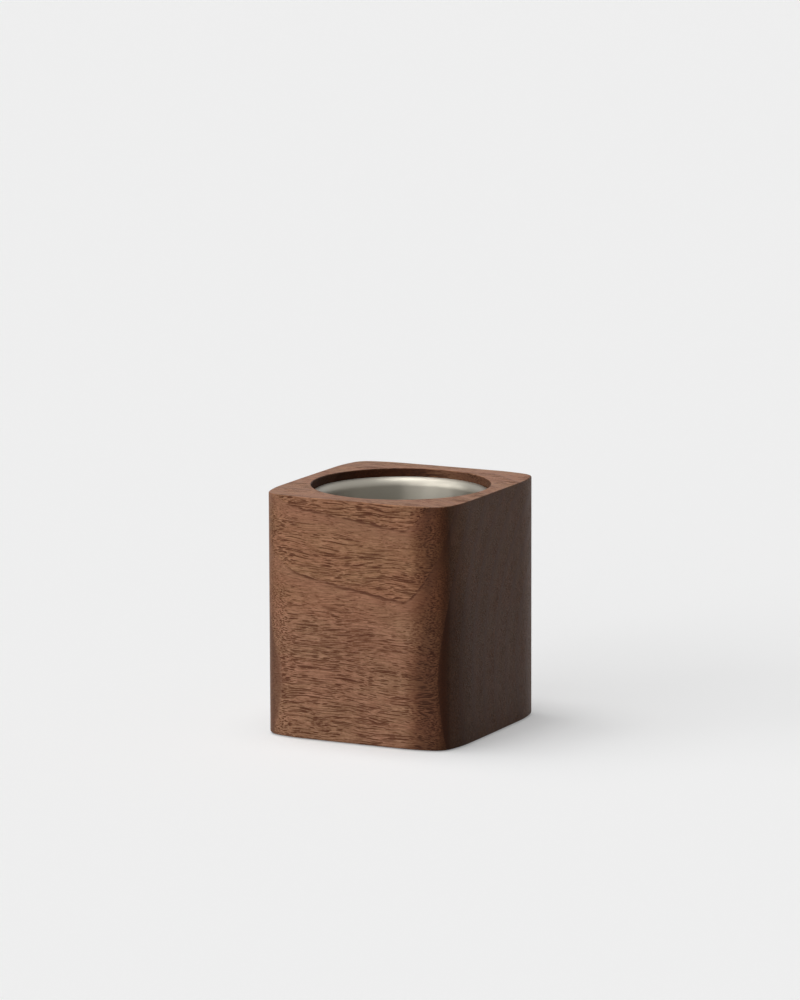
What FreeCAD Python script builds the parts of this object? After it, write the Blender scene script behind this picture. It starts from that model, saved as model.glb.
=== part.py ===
"""Desk pen pot: a solid walnut block with a drop-in stainless-steel cup.

Millimetres, +Z up. The origin is the middle of the footprint, on the surface
that the pot stands on. The block's wide faces look along -Y and +Y.
"""
import FreeCAD, Part
import math
import os

# --- walnut block ---
BLOCK_WIDTH = 76.0          # across the two side faces at their middles, along X
BLOCK_DEPTH = 80.0          # across the front and back faces at their middles, along Y
BLOCK_HEIGHT = 88.0         # underside to top face
FACE_TURN = 0.6             # degrees that an upright face turns on each side of its middle
SOFTENING_TURN = 15.0       # degrees that the wide curve turns between a face and its corner
SOFTENING_RADIUS = 45.0     # that wide curve
CORNER_RADIUS = 7.3         # the middle of each upright corner
TOP_EASE = 0.4              # small round on the top edges, outside and at the bore
BOTTOM_EASE = 0.8           # small round on the bottom edge
MOUTH_RADIUS = 32.4         # the bore where it shows above the cup's lip
FLOOR_THICKNESS = 8.0       # underside of the block to the floor of the bore
BORE_CORNER = 1.5           # left by the cutter round the floor of the bore

# --- steel cup ---
SHEET = 0.8                 # thickness of the drawn sheet
LIP_DROP = 3.0              # top face of the block down to the top of the lip
LIP_LAND = 0.5              # flat edge of the lip outside its curve
LIP_ROUND = 0.25            # deburred edge of the lip
FLARE_RADIUS = 3.0          # the lip's curve, on the side that shows
CUP_CORNER = 6.0            # outside radius between the cup's wall and floor

# --- pads ---
SEAT_THICKNESS = 2.0        # soft disc between the floors of the bore and the cup
SEAT_MARGIN = 1.5           # disc edge to the start of the cup's corner
BASE_THICKNESS = 1.6        # sheet let into the underside of the block
BASE_PROUD = 0.3            # how far that sheet stands out below the block
BASE_MARGIN = 6.0           # block's face to the edge of the recess
BASE_CORNER = 6.0           # corners of the recess

# --- fits ---
LIP_CLEARANCE = 0.3         # lip edge to the mouth of the bore, all round
CUP_CLEARANCE = 0.4         # cup to the bore that follows it below the lip
BASE_CLEARANCE = 0.25       # base sheet to the side of its recess

# --- levels, from the standing surface up ---
BLOCK_BOTTOM = BASE_PROUD
BLOCK_TOP = BLOCK_BOTTOM + BLOCK_HEIGHT
BORE_FLOOR = BLOCK_BOTTOM + FLOOR_THICKNESS
CUP_BOTTOM = BORE_FLOOR + SEAT_THICKNESS
LIP_TOP = BLOCK_TOP - LIP_DROP
FLARE_LEVEL = LIP_TOP - FLARE_RADIUS

# --- radii, from the mouth of the bore in ---
LIP_RADIUS = MOUTH_RADIUS - LIP_CLEARANCE
FLARE_CENTRE = LIP_RADIUS - LIP_LAND
CUP_INSIDE = FLARE_CENTRE - FLARE_RADIUS
CUP_OUTSIDE = CUP_INSIDE + SHEET
BORE_RADIUS = CUP_OUTSIDE + CUP_CLEARANCE
SEAT_RADIUS = CUP_OUTSIDE - CUP_CORNER - SEAT_MARGIN

HALF_ROOT = math.sqrt(0.5)
ABOVE_TOP = 5.0             # how far cutting tools reach past the block


def face_radii(width, depth, corner):
    """Radii of the front and side faces that make the closed outline as wide and deep as asked."""
    turn = math.radians(FACE_TURN)
    soft = math.radians(FACE_TURN + SOFTENING_TURN)
    reach = SOFTENING_RADIUS * (math.sin(soft) - math.sin(turn) + math.cos(turn) - math.cos(soft))
    reach += corner * (math.cos(soft) - math.sin(soft))
    along = math.sin(turn)
    across = 1 - math.cos(turn)
    span_x = width / 2 - reach
    span_y = depth / 2 - reach
    share = along * along - across * across
    return (along * span_x - across * span_y) / share, (along * span_y - across * span_x) / share


def soft_square(width, depth, corner, level):
    """Flat face whose outline turns slowly along each side, faster beside a corner, fastest at it."""
    front_radius, side_radius = face_radii(width, depth, corner)
    arcs = []
    for quarter in range(4):
        start = 90 * quarter - FACE_TURN
        arcs.append((side_radius if quarter % 2 else front_radius, start, start + 2 * FACE_TURN))
        arcs.append((SOFTENING_RADIUS, arcs[-1][2], arcs[-1][2] + SOFTENING_TURN))
        arcs.append((corner, arcs[-1][2], start + 90 - SOFTENING_TURN))
        arcs.append((SOFTENING_RADIUS, arcs[-1][2], start + 90))

    def outward(degrees):
        return FreeCAD.Vector(math.sin(math.radians(degrees)), -math.cos(math.radians(degrees)), 0)

    at = FreeCAD.Vector(0, front_radius - depth / 2, level) + outward(-FACE_TURN) * front_radius
    first = at
    edges = []
    for number, (radius, start, end) in enumerate(arcs):
        centre = at - outward(start) * radius
        middle = centre + outward((start + end) / 2) * radius
        last = first if number == len(arcs) - 1 else centre + outward(end) * radius
        edges.append(Part.Arc(at, middle, last).toShape())
        at = last
    return Part.Face(Part.Wire(edges))


class Profile:
    """Half section in the XZ plane, drawn point by point and then turned round Z."""

    def __init__(self, radius, level):
        self.at = FreeCAD.Vector(radius, 0, level)
        self.edges = []

    def line(self, radius, level):
        end = FreeCAD.Vector(radius, 0, level)
        self.edges.append(Part.LineSegment(self.at, end).toShape())
        self.at = end

    def quarter(self, centre_radius, centre_level, radius, level):
        """Quarter circle round a centre, ending at a point level with it or above or below it."""
        end = FreeCAD.Vector(radius, 0, level)
        centre = FreeCAD.Vector(centre_radius, 0, centre_level)
        middle = centre + ((self.at - centre) + (end - centre)) * HALF_ROOT
        self.edges.append(Part.Arc(self.at, middle, end).toShape())
        self.at = end

    def turned(self):
        wire = Part.Wire(self.edges)
        return Part.Face(wire).revolve(FreeCAD.Vector(0, 0, 0), FreeCAD.Vector(0, 0, 1), 360)


def level_edges(solid, level):
    """Edges that lie wholly at one level."""
    return [e for e in solid.Edges
            if abs(e.BoundBox.ZMin - level) < 1e-4 and abs(e.BoundBox.ZMax - level) < 1e-4]


def bore_tool():
    """The stepped hole: mouth, rounded ledge under the lip, and the bore that follows the cup."""
    ledge_round = FLARE_CENTRE - BORE_RADIUS
    ledge_level = FLARE_LEVEL + ledge_round
    p = Profile(0, BORE_FLOOR)
    p.line(BORE_RADIUS - BORE_CORNER, BORE_FLOOR)
    p.quarter(BORE_RADIUS - BORE_CORNER, BORE_FLOOR + BORE_CORNER, BORE_RADIUS, BORE_FLOOR + BORE_CORNER)
    p.line(BORE_RADIUS, FLARE_LEVEL)
    p.quarter(FLARE_CENTRE, FLARE_LEVEL, FLARE_CENTRE, ledge_level)
    p.line(MOUTH_RADIUS, ledge_level)
    p.line(MOUTH_RADIUS, BLOCK_TOP - TOP_EASE)
    p.quarter(MOUTH_RADIUS + TOP_EASE, BLOCK_TOP - TOP_EASE, MOUTH_RADIUS + TOP_EASE, BLOCK_TOP)
    p.line(MOUTH_RADIUS + TOP_EASE, BLOCK_TOP + ABOVE_TOP)
    p.line(0, BLOCK_TOP + ABOVE_TOP)
    p.line(0, BORE_FLOOR)
    return p.turned()


def recess_face(inset, level):
    """Outline of the underside recess, or of a sheet that lies inside it."""
    shrink = 2 * (BASE_MARGIN + inset)
    return soft_square(BLOCK_WIDTH - shrink, BLOCK_DEPTH - shrink, BASE_CORNER - inset, level)


def walnut_block():
    outline = soft_square(BLOCK_WIDTH, BLOCK_DEPTH, CORNER_RADIUS, BLOCK_BOTTOM)
    block = outline.extrude(FreeCAD.Vector(0, 0, BLOCK_HEIGHT))
    block = block.makeFillet(TOP_EASE, level_edges(block, BLOCK_TOP))
    block = block.makeFillet(BOTTOM_EASE, level_edges(block, BLOCK_BOTTOM))
    recess_depth = BASE_THICKNESS - BASE_PROUD
    recess = recess_face(0, BLOCK_BOTTOM - ABOVE_TOP).extrude(FreeCAD.Vector(0, 0, ABOVE_TOP + recess_depth))
    return block.cut([bore_tool(), recess]).Solids[0]


def steel_cup():
    """Drawn cup with a flared lip. The lip's top curve and underside share one centre."""
    p = Profile(0, CUP_BOTTOM)
    p.line(CUP_OUTSIDE - CUP_CORNER, CUP_BOTTOM)
    corner_level = CUP_BOTTOM + CUP_CORNER
    p.quarter(CUP_OUTSIDE - CUP_CORNER, corner_level, CUP_OUTSIDE, corner_level)
    p.line(CUP_OUTSIDE, FLARE_LEVEL)
    p.quarter(FLARE_CENTRE, FLARE_LEVEL, FLARE_CENTRE, LIP_TOP - SHEET)
    p.line(LIP_RADIUS, LIP_TOP - SHEET)
    p.line(LIP_RADIUS, LIP_TOP - LIP_ROUND)
    p.quarter(LIP_RADIUS - LIP_ROUND, LIP_TOP - LIP_ROUND, LIP_RADIUS - LIP_ROUND, LIP_TOP)
    p.line(FLARE_CENTRE, LIP_TOP)
    p.quarter(FLARE_CENTRE, FLARE_LEVEL, CUP_INSIDE, FLARE_LEVEL)
    p.line(CUP_INSIDE, corner_level)
    p.quarter(CUP_OUTSIDE - CUP_CORNER, corner_level, CUP_OUTSIDE - CUP_CORNER, CUP_BOTTOM + SHEET)
    p.line(0, CUP_BOTTOM + SHEET)
    p.line(0, CUP_BOTTOM)
    return p.turned()


def seat_pad():
    """Disc that the cup stands on."""
    return Part.makeCylinder(SEAT_RADIUS, SEAT_THICKNESS, FreeCAD.Vector(0, 0, BORE_FLOOR))


def base_pad():
    """Sheet that the pot stands on."""
    return recess_face(BASE_CLEARANCE, 0).extrude(FreeCAD.Vector(0, 0, BASE_THICKNESS))


PARTS = {
    "walnut_block": walnut_block,
    "steel_cup": steel_cup,
    "cup_seat_pad": seat_pad,
    "base_pad": base_pad,
}

os.makedirs("parts", exist_ok=True)
for name, make in PARTS.items():
    shape = make()
    shape.exportStep("parts/" + name + ".step")
    box = shape.BoundBox
    print(name, shape.ShapeType, "valid", shape.isValid(), "solids", len(shape.Solids),
          "volume", round(shape.Volume, 1), "z", round(box.ZMin, 3), round(box.ZMax, 3),
          "x", round(box.XLength, 3), "y", round(box.YLength, 3))
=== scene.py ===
"""Desk pen pot: a walnut block with a drop-in steel cup, a seat disc under the cup and a cork base."""
import math

import bmesh
import bpy
from mathutils import Matrix, Vector


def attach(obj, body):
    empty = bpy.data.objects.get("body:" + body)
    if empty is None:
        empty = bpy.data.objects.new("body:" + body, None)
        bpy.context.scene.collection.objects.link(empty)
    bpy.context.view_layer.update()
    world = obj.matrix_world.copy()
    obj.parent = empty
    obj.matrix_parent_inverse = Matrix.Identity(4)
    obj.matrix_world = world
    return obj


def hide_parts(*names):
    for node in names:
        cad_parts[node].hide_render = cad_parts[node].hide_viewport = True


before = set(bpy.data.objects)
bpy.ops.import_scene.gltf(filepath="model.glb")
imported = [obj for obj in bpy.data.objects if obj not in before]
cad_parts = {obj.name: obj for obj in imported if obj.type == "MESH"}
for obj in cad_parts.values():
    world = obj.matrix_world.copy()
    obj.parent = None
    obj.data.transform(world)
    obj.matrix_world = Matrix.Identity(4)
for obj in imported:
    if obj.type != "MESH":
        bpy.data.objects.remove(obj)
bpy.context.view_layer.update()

MM = 0.001

# --- walnut block, in millimetres, with +Z up from the standing surface ---
WIDTH = 76.0
DEPTH = 80.0
BLOCK_BOTTOM = 0.3
BLOCK_TOP = 88.3
FACE_TURN = 0.6
SOFTENING_TURN = 15.0
SOFTENING_RADIUS = 45.0
CORNER_RADIUS = 7.3
TOP_EASE = 0.4
BOTTOM_EASE = 0.8
MOUTH_RADIUS = 32.4
LEDGE_RADIUS = 31.6
LEDGE_LEVEL = 84.1
BORE_RADIUS = 29.8
BORE_FLOOR = 8.3
BORE_CORNER = 1.5

# --- steel cup ---
SHEET = 0.8
CUP_BOTTOM = 10.3
CUP_OUTSIDE = 29.4
CUP_CORNER = 6.0
FLARE_CENTRE = 31.6
FLARE_LEVEL = 82.3
LIP_RADIUS = 32.1
LIP_TOP = 85.3
LIP_ROUND = 0.25

# --- pads ---
SEAT_RADIUS = 21.9
SEAT_THICKNESS = 2.0
BASE_MARGIN = 6.0
BASE_CORNER = 6.0
BASE_THICKNESS = 1.6
BASE_CLEARANCE = 0.25
RECESS_LEVEL = 1.6

# --- rounded rims, and how far from them a ring holds the flat beside ---
SEAT_RIM = 0.2
BASE_RIM = 0.15
HOLD = 0.3
RIM_HOLD = 0.4
WALL_HOLD = 0.5

# --- how finely the curves are divided ---
FACE_STEPS = 24
SOFTENING_STEPS = 10
CORNER_STEPS = 20
EASE_STEPS = 6
TURN_STEPS = 256
MERGE_DISTANCE = 0.0005


def soft_square(width, depth, corner, inset=0.0):
    """Points and outward directions of an outline that turns slowly on its sides and fast at its corners."""
    turn = math.radians(FACE_TURN)
    soft = math.radians(FACE_TURN + SOFTENING_TURN)
    reach = SOFTENING_RADIUS * (math.sin(soft) - math.sin(turn) + math.cos(turn) - math.cos(soft))
    reach += corner * (math.cos(soft) - math.sin(soft))
    along = math.sin(turn)
    across = 1 - math.cos(turn)
    span_x = width / 2 - reach
    span_y = depth / 2 - reach
    share = along * along - across * across
    front_radius = (along * span_x - across * span_y) / share
    side_radius = (along * span_y - across * span_x) / share
    outline = []
    at = Vector((0.0, -depth / 2))
    for quarter in range(4):
        first, second = (front_radius, side_radius) if quarter % 2 == 0 else (side_radius, front_radius)
        stages = (
            (first, FACE_TURN, FACE_STEPS // 2),
            (SOFTENING_RADIUS, SOFTENING_TURN, SOFTENING_STEPS),
            (corner, 90 - 2 * (FACE_TURN + SOFTENING_TURN), CORNER_STEPS),
            (SOFTENING_RADIUS, SOFTENING_TURN, SOFTENING_STEPS),
            (second, FACE_TURN, FACE_STEPS // 2),
        )
        heading = 90.0 * quarter
        for radius, sweep, steps in stages:
            facing = outward(heading)
            centre = at - radius * facing
            for step in range(steps):
                facing = outward(heading + sweep * step / steps)
                outline.append((centre + (radius - inset) * facing, facing))
            heading += sweep
            at = centre + radius * outward(heading)
    return outline


def outward(degrees):
    """Direction that an outline faces after turning by an angle from the front face."""
    angle = math.radians(degrees)
    return Vector((math.sin(angle), -math.cos(angle)))


def quarter_round(centre, radius, start, end, steps=EASE_STEPS):
    """Points of an arc in a half section, from one angle to another, both included."""
    angles = [math.radians(start + (end - start) * step / steps) for step in range(steps + 1)]
    return [(centre[0] + radius * math.cos(a), centre[1] + radius * math.sin(a)) for a in angles]


class Shell:
    """A skin built ring by ring: each new ring is extruded from the last and put in its place."""

    def __init__(self, count):
        self.mesh = bmesh.new()
        self.station = self.mesh.verts.layers.int.new("station")
        made = bmesh.ops.create_circle(self.mesh, cap_ends=False, segments=count, radius=1.0)
        for number, vert in enumerate(made["verts"]):
            vert[self.station] = number
        self.edges = list(self.mesh.edges)

    def start(self, place):
        for vert in self.mesh.verts:
            vert.co = place(vert[self.station])
        bmesh.ops.contextual_create(self.mesh, geom=self.edges)

    def ring(self, place, crease=False):
        if crease:
            for edge in self.edges:
                edge.smooth = False
        made = bmesh.ops.extrude_edge_only(self.mesh, edges=self.edges)["geom"]
        fresh = {item for item in made if isinstance(item, bmesh.types.BMVert)}
        for vert in fresh:
            vert.co = place(vert[self.station])
        self.edges = [item for item in made
                      if isinstance(item, bmesh.types.BMEdge) and set(item.verts) <= fresh]

    def close(self):
        bmesh.ops.contextual_create(self.mesh, geom=self.edges)


def finished(mesh, name, material, body, node):
    """Turns a built mesh into a piece of the pot that stands for a CAD node."""
    bmesh.ops.remove_doubles(mesh, verts=mesh.verts, dist=MERGE_DISTANCE)
    bmesh.ops.recalc_face_normals(mesh, faces=mesh.faces)
    bmesh.ops.scale(mesh, verts=mesh.verts, vec=(MM, MM, MM))
    for face in mesh.faces:
        face.smooth = True
    data = bpy.data.meshes.new(name)
    mesh.to_mesh(data)
    mesh.free()
    piece = bpy.data.objects.new(name, data)
    bpy.context.scene.collection.objects.link(piece)
    data.materials.append(material)
    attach(piece, body)
    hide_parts(node)
    return piece


def block_mesh():
    """The block in one skin, from the ceiling of the underside recess round to the floor of the bore."""
    recess = soft_square(WIDTH - 2 * BASE_MARGIN, DEPTH - 2 * BASE_MARGIN, BASE_CORNER)
    faces = soft_square(WIDTH, DEPTH, CORNER_RADIUS)
    count = len(faces)

    def along(outline, inset, level):
        return lambda k: (outline[k][0] - inset * outline[k][1]).to_3d() + Vector((0, 0, level))

    def round_bore(radius, level):
        return lambda k: Vector((
            radius * math.sin(2 * math.pi * k / count), -radius * math.cos(2 * math.pi * k / count), level))

    shell = Shell(count)
    shell.start(along(recess, 2 * HOLD, RECESS_LEVEL))
    shell.ring(along(recess, 0.0, RECESS_LEVEL))
    shell.ring(along(recess, 0.0, BLOCK_BOTTOM), crease=True)
    shell.ring(along(recess, -HOLD, BLOCK_BOTTOM), crease=True)
    shell.ring(along(faces, BOTTOM_EASE + HOLD, BLOCK_BOTTOM))
    for inset, level in quarter_round((BOTTOM_EASE, BLOCK_BOTTOM + BOTTOM_EASE), BOTTOM_EASE, 270, 180):
        shell.ring(along(faces, inset, level))
    shell.ring(along(faces, 0.0, BLOCK_BOTTOM + BOTTOM_EASE + HOLD))
    shell.ring(along(faces, 0.0, BLOCK_TOP - TOP_EASE - HOLD))
    for inset, level in quarter_round((TOP_EASE, BLOCK_TOP - TOP_EASE), TOP_EASE, 180, 90):
        shell.ring(along(faces, inset, level))
    shell.ring(along(faces, TOP_EASE + HOLD, BLOCK_TOP))
    shell.ring(round_bore(MOUTH_RADIUS + TOP_EASE + HOLD, BLOCK_TOP))
    for radius, level in quarter_round((MOUTH_RADIUS + TOP_EASE, BLOCK_TOP - TOP_EASE), TOP_EASE, 90, 180):
        shell.ring(round_bore(radius, level))
    shell.ring(round_bore(MOUTH_RADIUS, BLOCK_TOP - TOP_EASE - HOLD))
    shell.ring(round_bore(MOUTH_RADIUS, LEDGE_LEVEL))
    shell.ring(round_bore(LEDGE_RADIUS, LEDGE_LEVEL), crease=True)
    ledge_round = LEDGE_RADIUS - BORE_RADIUS
    for radius, level in quarter_round((LEDGE_RADIUS, LEDGE_LEVEL - ledge_round), ledge_round, 90, 180)[1:]:
        shell.ring(round_bore(radius, level))
    shell.ring(round_bore(BORE_RADIUS, LEDGE_LEVEL - ledge_round - HOLD))
    shell.ring(round_bore(BORE_RADIUS, BORE_FLOOR + BORE_CORNER + HOLD))
    corner = (BORE_RADIUS - BORE_CORNER, BORE_FLOOR + BORE_CORNER)
    for radius, level in quarter_round(corner, BORE_CORNER, 0, -90):
        shell.ring(round_bore(radius, level))
    shell.ring(round_bore(BORE_RADIUS - BORE_CORNER - HOLD, BORE_FLOOR))
    shell.close()
    return shell.mesh


def cup_mesh():
    """The drawn cup, turned round its axis from one closed section."""
    inside = CUP_OUTSIDE - SHEET
    corner = (CUP_OUTSIDE - CUP_CORNER, CUP_BOTTOM + CUP_CORNER)
    flare = (FLARE_CENTRE, FLARE_LEVEL)
    lip = (LIP_RADIUS - LIP_ROUND, LIP_TOP - LIP_ROUND)
    section = [(0.0, CUP_BOTTOM), (corner[0] - WALL_HOLD, CUP_BOTTOM)]
    section += quarter_round(corner, CUP_CORNER, -90, 0, steps=12)
    section += [(CUP_OUTSIDE, corner[1] + WALL_HOLD), (CUP_OUTSIDE, FLARE_LEVEL - HOLD)]
    section += quarter_round(flare, FLARE_CENTRE - CUP_OUTSIDE, 180, 90, steps=10)
    section += [(LIP_RADIUS, LIP_TOP - SHEET)]
    section += quarter_round(lip, LIP_ROUND, 0, 90, steps=4)
    section += quarter_round(flare, FLARE_CENTRE - inside, 90, 180, steps=16)
    section += [(inside, FLARE_LEVEL - RIM_HOLD), (inside, corner[1] + WALL_HOLD)]
    section += quarter_round(corner, CUP_CORNER - SHEET, 0, -90, steps=12)
    section += [(corner[0] - WALL_HOLD, CUP_BOTTOM + SHEET), (0.0, CUP_BOTTOM + SHEET)]
    mesh = bmesh.new()
    verts = [mesh.verts.new((radius, 0.0, level)) for radius, level in section]
    edges = [mesh.edges.new(pair) for pair in zip(verts, verts[1:])]
    bmesh.ops.spin(
        mesh, geom=verts + edges, cent=(0, 0, 0), axis=(0, 0, 1), angle=2 * math.pi,
        steps=TURN_STEPS, use_merge=True)
    return mesh


def disc_mesh(radius, low, thickness, edge):
    """A flat disc with softened rims."""
    section = [(0.0, low), (radius - edge - RIM_HOLD, low)]
    section += quarter_round((radius - edge, low + edge), edge, -90, 0, steps=4)
    section += quarter_round((radius - edge, low + thickness - edge), edge, 0, 90, steps=4)
    section += [(radius - edge - RIM_HOLD, low + thickness), (0.0, low + thickness)]
    mesh = bmesh.new()
    verts = [mesh.verts.new((r, 0.0, level)) for r, level in section]
    edges = [mesh.edges.new(pair) for pair in zip(verts, verts[1:])]
    bmesh.ops.spin(
        mesh, geom=verts + edges, cent=(0, 0, 0), axis=(0, 0, 1), angle=2 * math.pi,
        steps=TURN_STEPS // 2, use_merge=True)
    return mesh


def base_mesh(edge):
    """The cork sheet under the block, with softened rims."""
    shrink = 2 * (BASE_MARGIN + BASE_CLEARANCE)
    outline = soft_square(WIDTH - shrink, DEPTH - shrink, BASE_CORNER - BASE_CLEARANCE)

    def along(inset, level):
        return lambda k: (outline[k][0] - inset * outline[k][1]).to_3d() + Vector((0, 0, level))

    shell = Shell(len(outline))
    shell.start(along(edge + RIM_HOLD, 0.0))
    for inset, level in quarter_round((edge, edge), edge, 270, 180, steps=4):
        shell.ring(along(inset, level))
    for inset, level in quarter_round((edge, BASE_THICKNESS - edge), edge, 180, 90, steps=4):
        shell.ring(along(inset, level))
    shell.ring(along(edge + RIM_HOLD, BASE_THICKNESS))
    shell.close()
    return shell.mesh


class Wire:
    """One output of a material's nodes; arithmetic on it adds Math nodes."""

    def __init__(self, finish, socket):
        self.finish = finish
        self.socket = socket

    def __add__(self, other):
        return self.finish.maths("ADD", self, other)

    def __radd__(self, other):
        return self.finish.maths("ADD", other, self)

    def __sub__(self, other):
        return self.finish.maths("SUBTRACT", self, other)

    def __rsub__(self, other):
        return self.finish.maths("SUBTRACT", other, self)

    def __mul__(self, other):
        return self.finish.maths("MULTIPLY", self, other)

    def __rmul__(self, other):
        return self.finish.maths("MULTIPLY", other, self)

    def __truediv__(self, other):
        return self.finish.maths("DIVIDE", self, other)


class Finish:
    """A material under construction."""

    def __init__(self, name):
        self.material = bpy.data.materials.new(name)
        self.material.use_nodes = True
        self.tree = self.material.node_tree
        self.tree.nodes.clear()

    def add(self, kind, settings=None, values=None, output=0):
        """Adds a node: its settings first, then the values or wires of its sockets."""
        node = self.tree.nodes.new(kind)
        for name, setting in (settings or {}).items():
            setattr(node, name, setting)
        for name, value in (values or {}).items():
            socket = node.inputs[name]
            if isinstance(value, Wire):
                self.tree.links.new(value.socket, socket)
            else:
                socket.default_value = value
        return Wire(self, node.outputs[output]) if node.outputs else node

    def maths(self, operation, first, second=0.0):
        return self.add("ShaderNodeMath", {"operation": operation}, {0: first, 1: second})

    def ramp(self, wire, low, high):
        """Rises smoothly from 0 to 1 between two values; the first may be the higher one."""
        limits = {"Value": wire, "From Min": min(low, high), "From Max": max(low, high)}
        rise = self.add("ShaderNodeMapRange", {"interpolation_type": "SMOOTHSTEP"}, limits)
        return rise if low < high else 1 - rise

    def mix(self, factor, first, second, blend="MIX"):
        settings = {"data_type": "RGBA", "blend_type": blend}
        return self.add("ShaderNodeMix", settings, {0: factor, 6: first, 7: second}, output=2)

    def tint(self, colour, strength):
        """Multiplies a colour by a number."""
        grey = self.add("ShaderNodeCombineXYZ", None, {0: strength, 1: strength, 2: strength})
        return self.mix(1.0, colour, grey, "MULTIPLY")

    def split(self, vector):
        node = self.add("ShaderNodeSeparateXYZ", None, {0: vector})
        outputs = node.socket.node.outputs
        return [Wire(self, outputs[axis]) for axis in range(3)]

    def vector(self, x, y, z):
        return self.add("ShaderNodeCombineXYZ", None, {0: x, 1: y, 2: z})

    def noise(self, vector, detail=0.0, roughness=0.5, colour=False):
        values = {"Vector": vector, "Scale": 1.0, "Detail": detail, "Roughness": roughness}
        return self.add("ShaderNodeTexNoise", None, values, output=1 if colour else 0)

    def scatter(self, vector):
        """Distance to the nearest of many scattered points, and a number of that point's own."""
        near = self.add("ShaderNodeTexVoronoi", None, {"Vector": vector, "Scale": 1.0})
        own = self.split(Wire(self, near.socket.node.outputs["Color"]))
        return near, own[0]

    def place(self):
        """Where a point lies on the piece, in millimetres."""
        spot = self.add("ShaderNodeTexCoord", None, None, output=3)
        scale = self.add("ShaderNodeVectorMath", {"operation": "SCALE"}, {0: spot, "Scale": 1000.0})
        return self.split(scale)

    def facing(self):
        """Which way the surface looks, on the piece's own axes."""
        return self.split(self.add("ShaderNodeTexCoord", None, None, output=1))

    def surface(self, values):
        shader = self.add("ShaderNodeBsdfPrincipled", None, values)
        self.add("ShaderNodeOutputMaterial", None, {"Surface": shader})
        return self.material


def srgb(red, green, blue):
    """Linear colour from the 0 to 255 values that it shows as."""
    def linear(value):
        value /= 255
        return value / 12.92 if value <= 0.04045 else ((value + 0.055) / 1.055) ** 2.4
    return (linear(red), linear(green), linear(blue), 1.0)


# --- walnut ---
PITH = (70.0, 19.0)             # Y and Z of the tree's centre, behind the block
RING_START = 107.3              # radius of one growth boundary
RING_STEP = 9.1                 # growth boundary to the next
WIDE_STEP = 10.3                # the same in the outermost, faster years
RING_LEAN = 0.06                # how far a boundary moves per millimetre along X
CROOK_START = 20.0              # X from which the stem bends back
CLOUD = (1.0, 39.5)             # X and Z of a darker cloud in the front
PORE_WIDTH = 0.46               # spacing of short pores across the grain
LONG_PORE_WIDTH = 0.44          # spacing of long pores across the grain
WOOD_DARK = srgb(96, 57, 34)
WOOD_PALE = srgb(172, 129, 101)
LATE_WOOD = srgb(142, 98, 79)
PORE_BROWN = srgb(80, 43, 25)
WHITE = (1.0, 1.0, 1.0, 1.0)


def drifting_fibres(f, x, y, z):
    """Y and Z followed along the wandering fibres, and a slow wave that belongs to the same drift."""
    drift = f.split(f.noise(f.vector(x / 36, y / 17, z / 17), detail=1, colour=True))
    ripple = f.split(f.noise(f.vector(x / 8, y / 5, z / 5), colour=True))
    fy = y + (drift[0] - 0.5) * 6 + (ripple[0] - 0.5) * 0.7
    fz = z + (drift[1] - 0.5) * 6 + (ripple[1] - 0.5) * 0.7
    return fy, fz, drift[2] - 0.5


def growth_rings(f, x, y, z, fray, bend):
    """Radius from the tree's centre, and the age of the wood within its year, from 0 to 1."""
    sway = f.noise(f.vector(x / 50, y / 40, z / 40 + 5)) - 0.5
    ry = y - PITH[0]
    rz = z - PITH[1]
    crook = bend * bend / (bend + 6) * (0.14 + z * 0.005)
    radius = f.maths("SQRT", ry * ry + rz * rz) + x * RING_LEAN - crook + sway + fray * 0.3
    outer = f.maths("MAXIMUM", radius - (RING_START + RING_STEP), 0.0)
    growth = (radius - RING_START) / RING_STEP - outer * (1 / RING_STEP - 1 / WIDE_STEP)
    return radius, growth - f.maths("FLOOR", growth)


def open_pores(f, x, fy, fz, plenty, late):
    """Vessels cut open: short and long dashes along the grain, dots where the surface cuts across it."""
    near, size = f.scatter(f.vector(x / 4.5, fy / PORE_WIDTH + 7, fz / PORE_WIDTH))
    short = f.ramp((0.14 + size * 0.24) * plenty - near, 0.0, 0.09)
    near, size = f.scatter(f.vector(x / 20, fy / LONG_PORE_WIDTH + 31, fz / LONG_PORE_WIDTH))
    long = f.ramp((0.20 + size * 0.26) * plenty * (1 - late * 0.3) - near, 0.0, 0.09)
    return f.maths("MAXIMUM", short, long)


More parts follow.
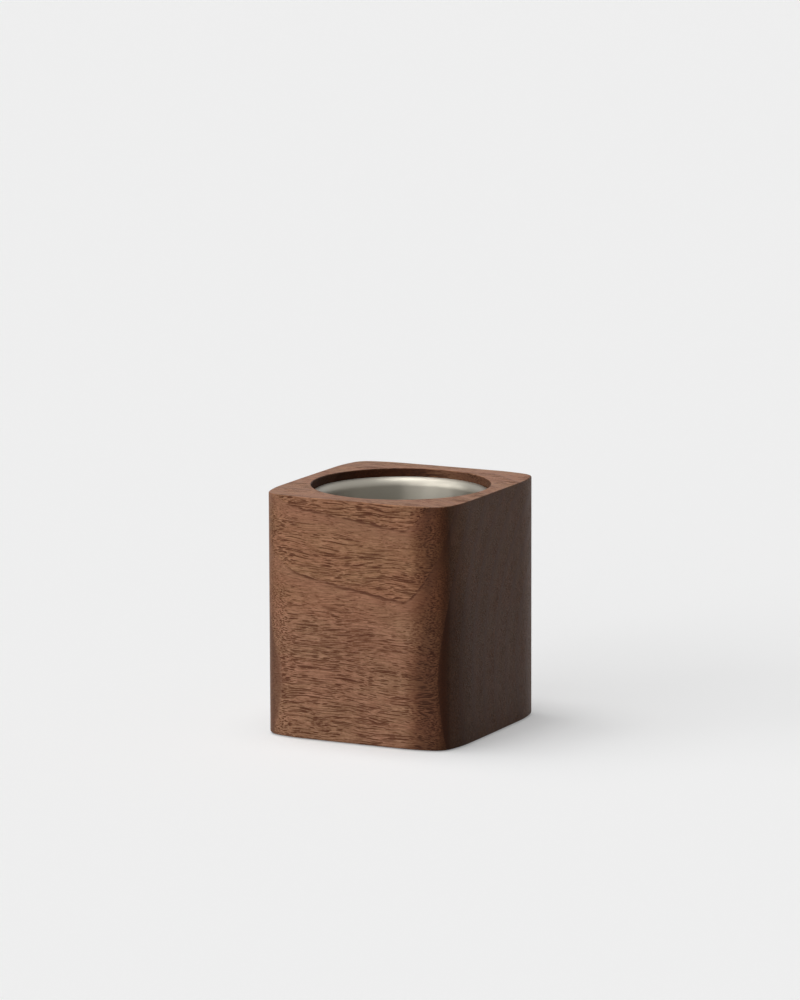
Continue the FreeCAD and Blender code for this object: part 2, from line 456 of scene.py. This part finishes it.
def end_grain_and_painted_shade(f, x, y, z, nx, nz, wave, late, radius):
    """Light lost where fibres run into the surface and in the oldest ring, and painted shade: more on the +X
    turn than on the -X turn, inside the bore and on faces that look up; and its rustiness.
    """
    dive = nx + wave * 0.08 + f.ramp(z, 58.0, 22.0) * 0.04
    flame = f.noise(f.vector(x / 60, y / 3.5, z / 26), detail=2) - 0.5
    # end grain darkening on both turns, with painted shade: the +X turn and its corner with the front lose
    # far more than the -X turn, standing in for light that falls from the -X side
    right = f.ramp(dive, 0.04, 0.25) * (0.59 + late * 0.08 + flame * 0.16)
    right = right + f.ramp(dive, 0.5, 0.85) * 0.12 - f.ramp(dive, 0.93, 1.0) * 0.12
    left = f.ramp(dive, -0.12, -0.5) * 0.29 + f.ramp(dive, -0.6, -1.0) * 0.2
    # painted shade: the wood inside the mouth of the bore is darkened as if in shadow
    bore_painted_shade = f.ramp(f.maths("SQRT", x * x + y * y), MOUTH_RADIUS + 0.2, MOUTH_RADIUS)
    heart = f.ramp(radius, RING_START + 0.3, RING_START - 0.5) * f.ramp(radius, RING_START - 35, RING_START)
    heart = heart * (1 - nz) * f.ramp(z, 64.0, 48.0) * (1 - f.ramp(nx, -0.5, -0.95) * 0.5)
    # painted shade: faces that look up are darkened a little
    grain_and_painted_shade = right + left + f.ramp(nz, 0.6, 1.0) * 0.07
    grain_and_painted_shade = grain_and_painted_shade + (1 - grain_and_painted_shade) * bore_painted_shade * 0.55
    rust = f.ramp(dive, 0.06, 0.2) * f.ramp(dive, 0.98, 0.84) * f.ramp(z, BLOCK_TOP, BLOCK_TOP - TOP_EASE)
    return grain_and_painted_shade + (1 - grain_and_painted_shade) * heart * 0.42, rust


def walnut():
    """Oiled walnut with its grain along X: rings, drifting fibres, short dark pores, dark end grain, and
    painted shade on the +X turn, in the bore and on the top.
    """
    f = Finish("oiled_walnut")
    x, y, z = f.place()
    nx, _, nz = f.facing()
    fy, fz, wave = drifting_fibres(f, x, y, z)
    fray = f.noise(f.vector(x / 5, fy / 0.7, fz / 0.7)) - 0.5
    bend = f.maths("MAXIMUM", x - CROOK_START, 0.0)
    radius, age = growth_rings(f, x, y, z, fray, bend)
    early = f.ramp(age, 0.75, 0.2)
    late = f.ramp(age, 0.55, 0.97)
    broken = f.ramp(f.noise(f.vector(x / 4, fy / 1.5 + 70, fz / 1.5)), 0.36, 0.6)
    edge = f.ramp(age, 0.95, 0.985) * (0.35 + broken * 0.65)

    # texture of the fibres, drawn out along the grain
    streak = f.noise(f.vector(x / 5, fy / 0.38, fz / 0.38), detail=1, roughness=0.4) - 0.5
    speck = f.noise(f.vector(x / 0.9, fy / 0.4, fz / 0.4 + 9)) - 0.5
    band = f.noise(f.vector(x / 40, fy / 3.2, fz / 3.2), detail=2) - 0.5
    light = f.ramp(f.noise(f.vector(x / 6, fy / 0.6 + 50, fz / 0.6)), 0.54, 0.72)
    spread = f.maths("ABSOLUTE", x - CLOUD[0]) / 20 + f.maths("ABSOLUTE", z - CLOUD[1] + x * 0.15) / 8
    cloud = f.ramp(spread + band * 0.8, 1.2, 0.2)
    crowd = f.noise(f.vector(x / 18, fy / 7 + 3, fz / 7)) - 0.5
    pore = open_pores(f, x, fy, fz, 1 + early * 0.2 - late * 0.25 + crowd * 0.5, late)

    # colours: fibres, rosy patches, a warmer upper half, late wood, pores, growth boundaries, end grain with
    # painted shade
    tone = 0.52 + streak * 1.35 + speck * 0.4 + band * 0.35 + light * 0.15 - cloud * 0.2
    wood = f.mix(tone, WOOD_DARK, WOOD_PALE)
    patch = f.ramp(f.noise(f.vector(x / 22, fy / 7 + 20, fz / 7), detail=2), 0.34, 0.66)
    rosy = f.mix(patch, (0.98, 1.0, 0.98, 1.0), (1.04, 0.985, 1.01, 1.0))
    wood = f.mix(1.0, wood, rosy, "MULTIPLY")
    warm = f.mix(f.ramp(z, 40.0, 54.0), WHITE, (1.03, 1.0, 0.93, 1.0))
    wood = f.mix(1.0, wood, warm, "MULTIPLY")
    turned = f.ramp(f.maths("ABSOLUTE", nx), 0.15, 0.9)
    wood = f.mix(late * (0.3 + turned * 0.3), wood, LATE_WOOD)
    wood = f.mix(pore * (0.9 - turned * 0.5), wood, PORE_BROWN)
    swept = f.ramp(nx, -0.04, -0.25) * 0.8 + f.ramp(nx, 0.15, 0.9) * 0.6
    swept = swept + f.ramp(z, 64.0, 72.0) * f.ramp(bend, 0.0, 4.0) * (1 - nz) * 0.65
    wood = f.mix(edge * f.maths("MAXIMUM", 0.85 - swept, 0.0), wood, PORE_BROWN)
    # end grain darkening with painted shade: darker on the +X turn than on the -X turn, inside the bore and
    # on the top
    grain_and_painted_shade, rust = end_grain_and_painted_shade(f, x, y, z, nx, nz, wave, late, radius)
    green = (1 - grain_and_painted_shade * 1.05) * (1 - rust * 0.14)
    blue = (1 - grain_and_painted_shade * 1.1) * (1 - rust * 0.22)
    wood = f.mix(1.0, wood, f.vector(1 - grain_and_painted_shade, green, blue), "MULTIPLY")

    rough = 0.5 + pore * 0.2 + streak * 0.2
    height = streak - pore * 0.8
    bump = f.add("ShaderNodeBump", None, {"Strength": 0.5, "Distance": 0.00012, "Height": height})
    return f.surface({
        "Base Color": wood, "Roughness": rough, "Normal": bump, "Specular IOR Level": 0.12})


# --- steel ---
STEEL = srgb(166, 161, 150)


def satin_steel():
    """Stainless steel brushed round the cup's axis."""
    f = Finish("satin_steel")
    x, y, z = f.place()
    along = f.maths("SQRT", x * x + y * y) + z
    lines = f.noise(f.vector(along / 0.16, x / 18, y / 18), detail=2, roughness=0.7)
    broad = f.noise(f.vector(along / 1.5, x / 30, y / 30), detail=2)
    cloud = f.noise(f.vector(x / 14, y / 14, z / 14), detail=3)
    colour = f.tint(STEEL, 1 + (lines - 0.5) * 0.10 + (cloud - 0.5) * 0.08)
    rough = 0.42 + (lines - 0.5) * 0.12 + (broad - 0.5) * 0.08
    bump = f.add("ShaderNodeBump", None, {"Strength": 0.25, "Distance": 0.00003, "Height": lines})
    return f.surface({
        "Base Color": colour, "Metallic": 1.0, "Roughness": rough, "Normal": bump,
        "Anisotropic": 0.8, "Anisotropic Rotation": 0.25})


# --- cork ---
GRANULE_SCALE = 0.75            # granules per millimetre
CORK_DARK = srgb(152, 112, 72)
CORK_PALE = srgb(196, 156, 110)
CORK_BARK = srgb(92, 58, 36)
CORK_JOINT = srgb(84, 54, 34)


def cork():
    """Pressed cork: pale and dark granules with open joints."""
    f = Finish("pressed_cork")
    x, y, z = f.place()
    wobble = f.split(f.noise(f.vector(x / 0.8, y / 0.8, z / 0.8), detail=2, colour=True))
    spot = f.vector(x + wobble[0] * 0.5, y + wobble[1] * 0.5, z + wobble[2] * 0.5)
    grains = {"Vector": spot, "Scale": GRANULE_SCALE}
    tone = f.split(f.add("ShaderNodeTexVoronoi", None, grains, output=1))
    joint = f.add("ShaderNodeTexVoronoi", {"feature": "DISTANCE_TO_EDGE"}, grains)
    fine = f.noise(f.vector(x / 0.25, y / 0.25, z / 0.25), detail=3)
    colour = f.mix(f.ramp(tone[0], 0.1, 0.9), CORK_DARK, CORK_PALE)
    colour = f.mix(f.ramp(tone[1], 0.86, 0.9), colour, CORK_BARK)
    colour = f.tint(colour, 0.85 + fine * 0.3)
    gap = f.ramp(joint, 0.07, 0.0)
    colour = f.mix(gap * 0.55, colour, CORK_JOINT)
    bump = f.add("ShaderNodeBump", None, {
        "Strength": 0.6, "Distance": 0.0002, "Height": fine * 0.3 - gap})
    return f.surface({
        "Base Color": colour, "Roughness": 0.85, "Normal": bump, "Specular IOR Level": 0.25})


# --- stage: floor, lamps, surroundings and camera ---
BACKDROP = srgb(239, 239, 239)
FLOOR_PALE = srgb(252, 252, 252)
FLOOR_BOUNCE = (0.28, 0.28, 0.28, 1.0)
FLOOR_VEIL = 0.30               # share of the floor's paleness that the shadow leaves
FLOOR_REACH = 15.0              # metres from its middle to its edge
SURROUND_LIGHT = 0.10           # strength of the even light from all round
PALE_RAYS = ("Is Camera Ray", "Is Glossy Ray", "Is Transmission Ray")

# bearing from -Y towards -X, height above the horizon and spread in degrees, and strength
LAMPS = (
    ("strip_0", 0, 15, 42, 0.86),
    ("strip_30", 30, 15, 42, 1.14),
    ("strip_60", 60, 15, 42, 0.68),
    ("side", 90, 57, 30, 0.34),
    ("high", 90, 76, 30, 0.75),
    ("top", 0, 89, 30, 0.80),
)


def pale_floor():
    """Wide matt floor, pale to the eye and in reflections."""
    f = Finish("pale_floor")
    path = f.add("ShaderNodeLightPath")
    rays = path.socket.node.outputs
    seen = [Wire(f, rays[name]) for name in PALE_RAYS]
    shown = f.maths("MINIMUM", seen[0] + seen[1] + seen[2], 1.0)
    colour = f.mix(shown, FLOOR_BOUNCE, FLOOR_PALE)
    matt = f.add("ShaderNodeBsdfPrincipled", None, {
        "Base Color": colour, "Roughness": 1.0, "Specular IOR Level": 0.0})
    plain = f.add("ShaderNodeEmission", None, {"Color": BACKDROP, "Strength": 1.0})
    both = f.add("ShaderNodeMixShader", None, {0: shown * FLOOR_VEIL, 1: matt, 2: plain})
    f.add("ShaderNodeOutputMaterial", None, {"Surface": both})
    mesh = bmesh.new()
    bmesh.ops.create_grid(mesh, x_segments=8, y_segments=8, size=FLOOR_REACH)
    data = bpy.data.meshes.new("floor")
    mesh.to_mesh(data)
    mesh.free()
    floor = bpy.data.objects.new("floor", data)
    data.materials.append(f.material)
    bpy.context.scene.collection.objects.link(floor)


def distant_lamp(name, bearing, height, spread, strength):
    """A soft lamp far away, as wide as its spread."""
    lamp = bpy.data.lights.new(name, "SUN")
    lamp.energy = strength
    lamp.angle = math.radians(spread)
    holder = bpy.data.objects.new(name, lamp)
    b = math.radians(bearing)
    h = math.radians(height)
    towards = Vector((-math.sin(b) * math.cos(h), -math.cos(b) * math.cos(h), math.sin(h)))
    holder.rotation_mode = "QUATERNION"
    holder.rotation_quaternion = towards.to_track_quat("Z", "Y")
    bpy.context.scene.collection.objects.link(holder)


def surroundings():
    """Weak even light from all round, and a pale backdrop to the eye and in reflections."""
    world = bpy.data.worlds.new("studio")
    bpy.context.scene.world = world
    world.use_nodes = True
    tree = world.node_tree
    tree.nodes.clear()
    around = tree.nodes.new("ShaderNodeBackground")
    around.inputs["Strength"].default_value = SURROUND_LIGHT
    shown = tree.nodes.new("ShaderNodeBackground")
    shown.inputs["Color"].default_value = BACKDROP
    rays = tree.nodes.new("ShaderNodeLightPath").outputs
    seen = rays[PALE_RAYS[0]]
    for name in PALE_RAYS[1:]:
        either = tree.nodes.new("ShaderNodeMath")
        either.operation = "MAXIMUM"
        tree.links.new(seen, either.inputs[0])
        tree.links.new(rays[name], either.inputs[1])
        seen = either.outputs[0]
    both = tree.nodes.new("ShaderNodeMixShader")
    tree.links.new(seen, both.inputs[0])
    tree.links.new(around.outputs[0], both.inputs[1])
    tree.links.new(shown.outputs[0], both.inputs[2])
    out = tree.nodes.new("ShaderNodeOutputWorld")
    tree.links.new(both.outputs[0], out.inputs["Surface"])


VIEW_DISTANCE = 2159.4          # millimetres from the point that the camera looks at
VIEW_BEARING = 26.564           # from -Y towards +X, in degrees
VIEW_HEIGHT = 10.2155
VIEW_ROLL = -0.192
LOOK_ASIDE = -0.649             # millimetres from the pot's axis, to the camera's right
LOOK_UP = 81.0
LENS = 214.15
SENSOR = 36.0


def camera():
    """Long lens from the front right, a little above."""
    b = math.radians(VIEW_BEARING)
    h = math.radians(VIEW_HEIGHT)
    r = math.radians(VIEW_ROLL)
    ahead = Vector((-math.sin(b) * math.cos(h), math.cos(b) * math.cos(h), -math.sin(h)))
    level = Vector((math.cos(b), math.sin(b), 0.0))
    raised = level.cross(ahead)
    right = math.cos(r) * level + math.sin(r) * raised
    up = math.cos(r) * raised - math.sin(r) * level
    lens = bpy.data.cameras.new("view")
    lens.lens = LENS
    lens.sensor_width = SENSOR
    holder = bpy.data.objects.new("view", lens)
    spot = (LOOK_ASIDE * right + LOOK_UP * up - VIEW_DISTANCE * ahead) * MM
    axes = Matrix((right, up, -ahead)).transposed()
    holder.matrix_world = Matrix.Translation(spot) @ axes.to_4x4()
    bpy.context.scene.collection.objects.link(holder)
    bpy.context.scene.camera = holder


wood = walnut()
steel = satin_steel()
pads = cork()
finished(block_mesh(), "block", wood, "block", "walnut_block")
finished(cup_mesh(), "cup", steel, "cup", "steel_cup")
seat = disc_mesh(SEAT_RADIUS, BORE_FLOOR, SEAT_THICKNESS, SEAT_RIM)
finished(seat, "seat_disc", pads, "block", "cup_seat_pad")
finished(base_mesh(BASE_RIM), "base_sheet", pads, "block", "base_pad")

pale_floor()
for row in LAMPS:
    distant_lamp(*row)
surroundings()
camera()
bpy.context.scene.view_settings.view_transform = "Standard"
